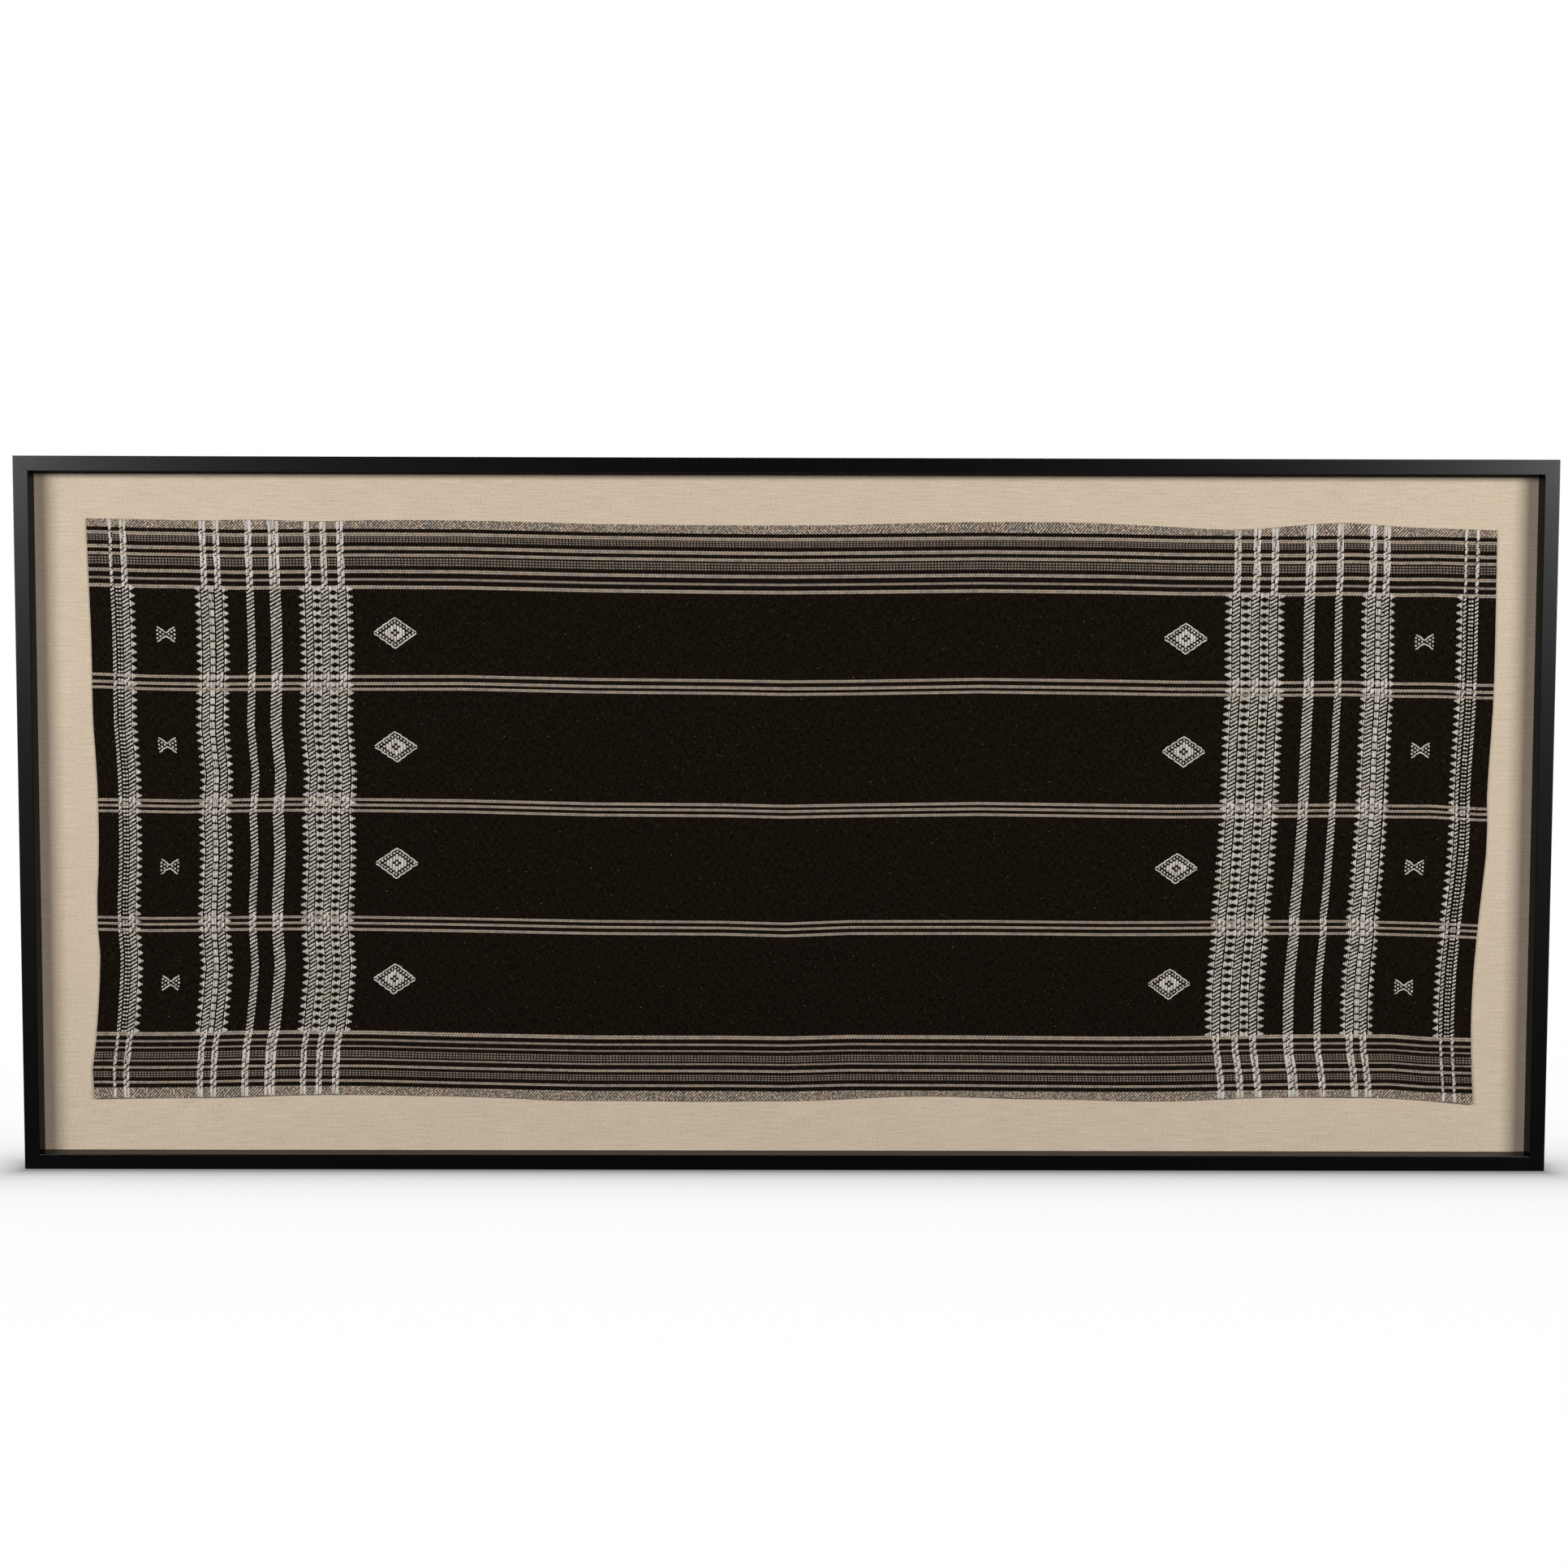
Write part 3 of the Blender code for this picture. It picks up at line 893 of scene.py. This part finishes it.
def stitched(name, stitches, material, height=STITCH_HEIGHT, above=0.0):
    """One mesh of many stitches, that far above the cloth. Each is (u, v, width, length, lean, slant):
    loom metres, radians, and how steeply its two ends rise across the stitch."""
    u, v, width, length, lean, slant = (column[:, None] for column in np.array(stitches, float).T)
    taper = np.minimum(END_TAPER, END_SHARE * length)
    end = np.abs(unit_points[:, 2]) > (ROD_LENGTH + ROD_END) / 2
    across = unit_points[:, 0] * width
    along = np.sign(unit_points[:, 2]) * (length / 2 - np.where(end, 0.0, taper)) + across * slant
    turned_u = u + across * np.cos(lean) + along * np.sin(lean)
    turned_v = v - across * np.sin(lean) + along * np.cos(lean)
    rise = unit_points[:, 1] / unit_points[:, 1].min()
    lift = above + rise * height * np.minimum(1.0, width / FULL_WIDTH)
    x, z = wall_place(turned_u, turned_v)
    y = face_depth(u, v) - STITCH_GAP - lift
    points = np.stack([x + CENTRE_X, y, z + CENTRE_Z], 2).reshape(-1, 3)
    count = len(u)
    corners = len(unit_points)
    faces = [[corner + copy * corners for corner in face] for copy in range(count) for face in unit_faces]
    mesh = bpy.data.meshes.new(name)
    mesh.from_pydata(points.tolist(), [], faces)
    start = random.uniform(0, 1, count)[:, None]
    yarn = np.stack([across + start, along + start + 0 * across], 2).reshape(-1, 2)
    mesh.uv_layers.new(name="yarn").data.foreach_set("uv", yarn[corner_points(mesh)].ravel())
    tint = mesh.attributes.new("tint", "FLOAT", "POINT")
    tint.data.foreach_set("value", np.repeat(random.uniform(0, 1, count), corners))
    mesh.materials.append(material)
    mesh.polygons.foreach_set("use_smooth", np.ones(len(mesh.polygons), bool))
    piece = linked(name, mesh)
    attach(piece, "root")
    print(name, "has", count, "stitches")
    return piece


# %% Cream yarn
CREAM = [
    (0.00, (0.45, 0.40, 0.34)),
    (0.20, (0.56, 0.51, 0.44)),
    (0.50, (0.71, 0.66, 0.58)),
    (0.78, (0.64, 0.59, 0.54)),
    (1.00, (0.55, 0.52, 0.42)),
]


def cream_finish():
    """Soft cream two-ply cotton, a little different from stitch to stitch, with its twist as relief and as
    painted shade in the grooves between the plies.
    """
    finish = Finish("cream_cotton_yarn", roughness=0.88, specular=0.08)
    across, along = finish.map("yarn")
    x, _, z = finish.places()
    ply = (along + across * 1.1).wave(1.5 * MM)
    fibres = finish.cloudy(across * 3500, along * 500)
    worn = finish.cloudy(x * 60, z * 60, detail=3.0)
    aged = finish.cloudy(x * 16, z * 22).step(0.50, 0.72)
    base = finish.mix(aged * 0.5, finish.ramp(finish.tint("tint"), CREAM), rgb(0.57, 0.53, 0.38))
    # Painted shade: the ply wave darkens the colour in the grooves between the two plies; fibres and worn
    # vary the tone at random.
    level = 0.42 + 0.36 * ply + 0.26 * fibres + 0.14 * worn
    finish.set("Base Color", finish.shade(base, level))
    finish.bump(ply + fibres * 0.5, 0.22 * MM)
    return finish.material


def dark_finish():
    """The ground's own wool as a yarn."""
    finish = Finish("dark_wool_yarn", roughness=0.95, specular=0.0)
    across, along = finish.map("yarn")
    fibres = finish.cloudy(across * 3000, along * 600)
    tone = finish.mix(fibres, rgb(0.006, 0.004, 0.003), rgb(0.022, 0.016, 0.012))
    finish.set("Base Color", tone)
    finish.bump(fibres, 0.2 * MM)
    return finish.material


cream_yarn = cream_finish()
dark_yarn = dark_finish()
print("yarns:", cream_yarn.name, dark_yarn.name)

# %% [markdown]
# ### Charts of the bands
# A band is a few motifs side by side, each made of upright columns. The same rows repeat all the way up,
# so a chart needs only the columns, and nothing has to be drawn row by row. Every number is in loom
# millimetres from the frame's centre.

# %% Band charts
# Each motif is (kind, first column, number of columns, column pitch).
BANDS = {
    "edge_band_left": (
        ("twill", -1038.2, 2, 2.7), ("ladder", -1030.2, 2, 4.6), ("twill", -1021.2, 4, 2.6),
        ("point_right", -1010.0, 4, 2.1),
    ),
    "block_band_left": (
        ("point_left", -909.0, 3, 2.8), ("twill", -899.2, 4, 2.6), ("block", -887.8, 3, 2.5),
        ("twill", -878.2, 4, 2.6), ("point_right", -866.5, 4, 2.1),
    ),
    "narrow_band_left": (("twill", -829.6, 4, 2.9),),
    "rope_band_left": (("twill", -793.6, 6, 2.85),),
    "waisted_band_left": (
        ("point_left", -749.2, 4, 2.25), ("twill", -738.8, 4, 2.45), ("waist", -727.9, 6, 2.1),
        ("twill", -714.2, 4, 2.6), ("waist", -702.9, 6, 2.15), ("twill", -688.5, 4, 2.9),
        ("point_right", -675.2, 3, 3.1),
    ),
    "waisted_band_right": (
        ("point_left", 677.4, 4, 2.6), ("twill", 689.0, 4, 2.8), ("waist", 701.9, 6, 2.55),
        ("twill", 718.5, 4, 2.9), ("waist", 731.6, 6, 2.15), ("twill", 746.4, 4, 2.9),
        ("point_right", 759.4, 4, 2.5),
    ),
    "rope_band_right": (("twill", 799.3, 6, 2.7),),
    "narrow_band_right": (("twill", 847.3, 4, 2.75),),
    "block_band_right": (
        ("point_left", 888.2, 3, 2.8), ("twill", 897.3, 4, 2.9), ("block", 910.3, 3, 2.5),
        ("twill", 918.9, 4, 2.75), ("point_right", 932.0, 3, 2.5),
    ),
    "edge_band_right": (
        ("point_left", 1034.8, 4, 2.2), ("twill", 1045.2, 2, 2.4), ("ladder", 1053.6, 2, 4.3),
        ("twill", 1063.3, 2, 2.6),
    ),
}
REPEAT = 12.3
PHASE = 311.5
POINT_HEIGHTS = {3: (9.7, 6.0, 3.0), 4: (9.7, 7.0, 4.9, 2.7)}
WAIST_HEIGHTS = (10.0, 7.6, 5.0, 5.0, 7.6, 10.0)
BLOCK_HEIGHT = 10.0
LADDER_HEIGHT = 2.9
PATTERN_TOP = 349.0
PATTERN_BOTTOM = -344.0
SOLID_ZONES = ((-460.0, -341.0), (-187.0, -158.0), (-1.0, 26.0), (189.0, 218.0), (345.0, 460.0))
OPEN_STEP = REPEAT / 2
OPEN_STITCH = 3.5
OPEN_RISE = 1.6
SOLID_GAP = 2.1
TURN_COLUMNS = 4
BINDING_GAPS = (3.0, 9.0)
PAIRING = 0.25
OPEN_FILL = 1.00
FLOAT_FILL = 0.88
COLUMN_FILL = 0.82
OPEN_SLANT = 0.6
END_MARGIN = 0.6
SHORTEST = 2.0
print(len(BANDS), "bands of", sum(len(motifs) for motifs in BANDS.values()), "motifs")


# %% Rows of a twill
# The ground binds the long floats down in the middles of the narrow dark gaps between stripes.
gap_lows = [SELVEDGE_LOW] + [high for _, high, _ in STRIPES]
gap_highs = [low for low, _, _ in STRIPES] + [SELVEDGE_HIGH]
BINDINGS = [
    (high + low) / 2
    for low, high in zip(gap_lows, gap_highs)
    if BINDING_GAPS[0] < high - low < BINDING_GAPS[1]
]


def twill_column(number, count):
    """One column of a twill from bottom to top, as (low end, high end, whether it is a long float). The
    bindings of the long floats climb like the open twill, but start again after every fourth column."""
    climb = OPEN_RISE * number
    first = PHASE + climb
    turn = (number + 2 * (count == TURN_COLUMNS)) % TURN_COLUMNS
    stops = [height + OPEN_RISE * (turn - 1.5) for height in BINDINGS]
    stops += [first + OPEN_STEP * math.ceil((high - first) / OPEN_STEP) for _, high in SOLID_ZONES]
    made = []
    at = LOOM_BOTTOM / MM
    while at < LOOM_TOP / MM:
        if any(low <= at < high for low, high in SOLID_ZONES):
            stop = min(stop for stop in stops if stop > at + OPEN_STEP / 2)
            made.append((at, stop - SOLID_GAP, True))
        else:
            stop = at + OPEN_STEP
            made.append((at, at + OPEN_STITCH, False))
        at = stop
    return made


print(len(BINDINGS), "bindings and", len(twill_column(0, 4)), "stitches in a twill column")


# %% Columns of each motif
def pattern_centres(step):
    """Middles of a motif's rows, one step apart, between the two inner borders."""
    first = math.ceil((PATTERN_BOTTOM - PHASE) / step)
    last = math.floor((PATTERN_TOP - PHASE) / step)
    return [PHASE + step * number for number in range(first, last + 1)]


def column_height(kind, number, count):
    """Height of the stitches in one column of a motif, in loom millimetres."""
    if kind == "ladder":
        return LADDER_HEIGHT
    if kind == "block":
        return BLOCK_HEIGHT
    if kind == "waist":
        return WAIST_HEIGHTS[number]
    heights = POINT_HEIGHTS[count]
    return heights[number] if kind == "point_right" else heights[-1 - number]


def column_stitches(kind, number, count):
    """One column's stitches as (low end, high end, whether it is a long float), in loom millimetres."""
    if kind == "twill":
        found = twill_column(number, count)
    else:
        half = column_height(kind, number, count) / 2
        middles = pattern_centres(OPEN_STEP if kind == "ladder" else REPEAT)
        found = [(middle - half, middle + half, False) for middle in middles]
    bottom = LOOM_BOTTOM / MM + END_MARGIN
    top = LOOM_TOP / MM - END_MARGIN
    inside = [stitch for stitch in found if stitch[1] > bottom + SHORTEST and stitch[0] < top - SHORTEST]
    return [(max(low, bottom), min(high, top), long_float) for low, high, long_float in inside]


def motif_stitches(kind, first, count, pitch):
    """All stitches of one motif with a weaver's small unevenness."""
    made = []
    slant = OPEN_SLANT * OPEN_RISE / pitch if kind == "twill" else 0.0
    short_fill = OPEN_FILL if kind == "twill" else COLUMN_FILL
    for number in range(count):
        for low, high, long_float in column_stitches(kind, number, count):
            across, up, fuller, longer, lean = random.normal(0.0, 1.0, 5)
            paired = PAIRING * (-1) ** number if long_float else 0.0
            fill = FLOAT_FILL if long_float else short_fill
            made.append((
                (first + pitch * number + paired + 0.14 * across) * MM,
                ((low + high) / 2 + 0.18 * up) * MM,
                pitch * (fill + 0.08 * fuller) * MM,
                (high - low + 0.28 * longer) * MM,
                0.04 * lean,
                slant,
            ))
    return made


for name, motifs in BANDS.items():
    stitches = [stitch for motif in motifs for stitch in motif_stitches(*motif)]
    stitched(name, stitches, cream_yarn)

# %% [markdown]
# ### Dark picks
# Where a band crosses a stripe, single picks of the ground's own wool come up through the cream, in turn
# left and right of the band's middle. They are stitches too, thinner and raised to lie on the cream.

# %% Dark picks that bind the floats
PICK_WIDTH = 1.6
PICK_LENGTH = 3.0
PICK_LEAN = 0.9
PICK_STEP = 3.8
PICK_HEIGHT = 0.25 * MM
PICK_LIFT = 0.60 * MM


def stitch_at(centre, across, up, width, height, lean=0.0):
    """One stitch, a little uneven: the centre is a loom place, the rest are mm, and radians for the lean."""
    off_across, off_up, fuller, longer = random.normal(0.0, 1.0, 4)
    return (
        centre[0] + (across + 0.15 * off_across) * MM,
        centre[1] + (up + 0.15 * off_up) * MM,
        width * (1 + 0.05 * fuller) * MM,
        height * (1 + 0.04 * longer) * MM,
        lean,
        0.0,
    )


def pick_places():
    """Loom millimetres of every pick, in turn left and right of a twill's middle."""
    twills = [motif for motifs in BANDS.values() for motif in motifs if motif[0] == "twill"]
    found = []
    for _, first, count, pitch in twills:
        for number, (low, high, _) in enumerate(STRIPES):
            steps = round((high - low) / PICK_STEP)
            for step in range(steps):
                gap = count / 2 - 0.5 + 0.5 * (-1) ** (step + number)
                found.append((first + pitch * gap, low + (high - low) * (step + 0.5) / steps))
    return found


picks = [stitch_at((0.0, 0.0), *place, PICK_WIDTH, PICK_LENGTH, PICK_LEAN) for place in pick_places()]
stitched("binding_picks", picks, dark_yarn, PICK_HEIGHT, PICK_LIFT)

# %% [markdown]
# ### Diamonds and bow-ties
# Between the bands stand small figures: four diamonds and four bow-ties on each side. Their dots and
# short bars are single stitches, and their outlines are one yarn laid down in slanting steps. Only a
# quarter of a figure is charted, and its mirror images make the rest.

# %% Figure charts
# Dots and bars are (across, up, height) from a figure's centre, in mm, for one quarter or one half.
DIAMOND_DOTS = (
    (0.0, 18.0), (4.5, 15.3), (9.0, 12.3), (13.5, 9.3), (18.0, 6.3), (22.4, 3.3), (26.9, 0.0), (18.0, 0.0),
)
DIAMOND_BARS = ((0.0, 9.8, 9.2), (4.5, 6.4, 9.4), (8.9, 0.4, 15.5), (13.3, 0.0, 9.8))
DIAMOND_SIDE = ((0.0, 23.6), (31.8, 1.2))
BOW_DOTS = ((13.2, 6.0), (13.2, 0.0), (8.6, 3.1), (4.3, 0.0))
BOW_SIDE = ((0.3, 2.4), (12.8, 11.3))
DOT_WIDTH = 3.0
DOT_HEIGHT = 3.2
BAR_WIDTH = 3.7
LINE_WIDTH = 2.0
LINE_STEP = 5.2
# Where their centres lie on the wall, in mm from the frame's centre.
DIAMONDS = (
    (-604, 281), (-604, 105), (-604, -76), (-609, -257), (616, 275), (615, 100), (606, -82), (597, -263),
)
BOWS = (
    (-957, 278), (-957, 107), (-956, -82), (-957, -264), (985, 271), (982, 103), (976, -79), (963, -267),
)
MIRRORS = ((1, 1), (1, -1), (-1, 1), (-1, -1))


def mirrored(places):
    """Each place with its mirror images left and right, up and down, without doubles."""
    found = set()
    for across, up, *size in places:
        found.update((side * across + 0.0, rise * up + 0.0, *size) for side, rise in MIRRORS)
    return sorted(found)


def line_stitches(centre, start, end):
    """A slanting line of stitches that overlap at their ends."""
    run = Vector(end) - Vector(start)
    count = max(1, round(run.length / LINE_STEP))
    made = []
    for number in range(count):
        spot = Vector(start) + run * ((number + 0.5) / count)
        wobble = 0.35 if number % 2 else -0.35
        lean = math.atan2(run.x, run.y) + 0.10 * (1 if run.x * run.y > 0 else -1)
        made.append(stitch_at(centre, spot.x, spot.y + wobble, LINE_WIDTH, run.length / count + 1.7, lean))
    return made


def figure(centre, dots, bars, side):
    """A figure's stitches: its dots, its bars, and four slanting sides."""
    made = [stitch_at(centre, across, up, DOT_WIDTH, DOT_HEIGHT) for across, up in mirrored(dots)]
    made += [stitch_at(centre, across, up, BAR_WIDTH, height) for across, up, height in mirrored(bars)]
    for flip, rise in MIRRORS:
        made += line_stitches(centre, *[(flip * across, rise * up) for across, up in side])
    return made


diamond_stitches = []
for x, z in DIAMONDS:
    centre = loom_place(x * MM, z * MM)
    diamond_stitches += figure(centre, DIAMOND_DOTS, DIAMOND_BARS, DIAMOND_SIDE)
    diamond_stitches.append(stitch_at(centre, 0.0, 0.0, 3.0, 4.2))
stitched("diamonds", diamond_stitches, cream_yarn)
bow_stitches = []
for x, z in BOWS:
    bow_stitches += figure(loom_place(x * MM, z * MM), BOW_DOTS, (), BOW_SIDE)
stitched("bow_ties", bow_stitches, cream_yarn)

# %% [markdown]
# ## The hems
# Both short ends are turned under and held by a row of small stitches in the ground's own wool. They are
# the same stitch again, small and flat, because they hardly show.

# %% Hem stitches
HEM_LINE = 16.5 * MM
HEM_STEP = 6.1 * MM
HEM_STITCH_WIDTH = 1.1
HEM_STITCH_LENGTH = 2.6
HEM_STITCH_HEIGHT = 0.3 * MM
hem_stitches = []
for line in (LOOM_LEFT + HEM_LINE, LOOM_RIGHT - HEM_LINE):
    for spot in np.arange(LOOM_BOTTOM + HEM_STEP, LOOM_TOP - HEM_STEP, HEM_STEP):
        hem_stitches.append(stitch_at((line, spot), 0.0, 0.0, HEM_STITCH_WIDTH, HEM_STITCH_LENGTH))
stitched("hem_stitches", hem_stitches, dark_yarn, HEM_STITCH_HEIGHT)
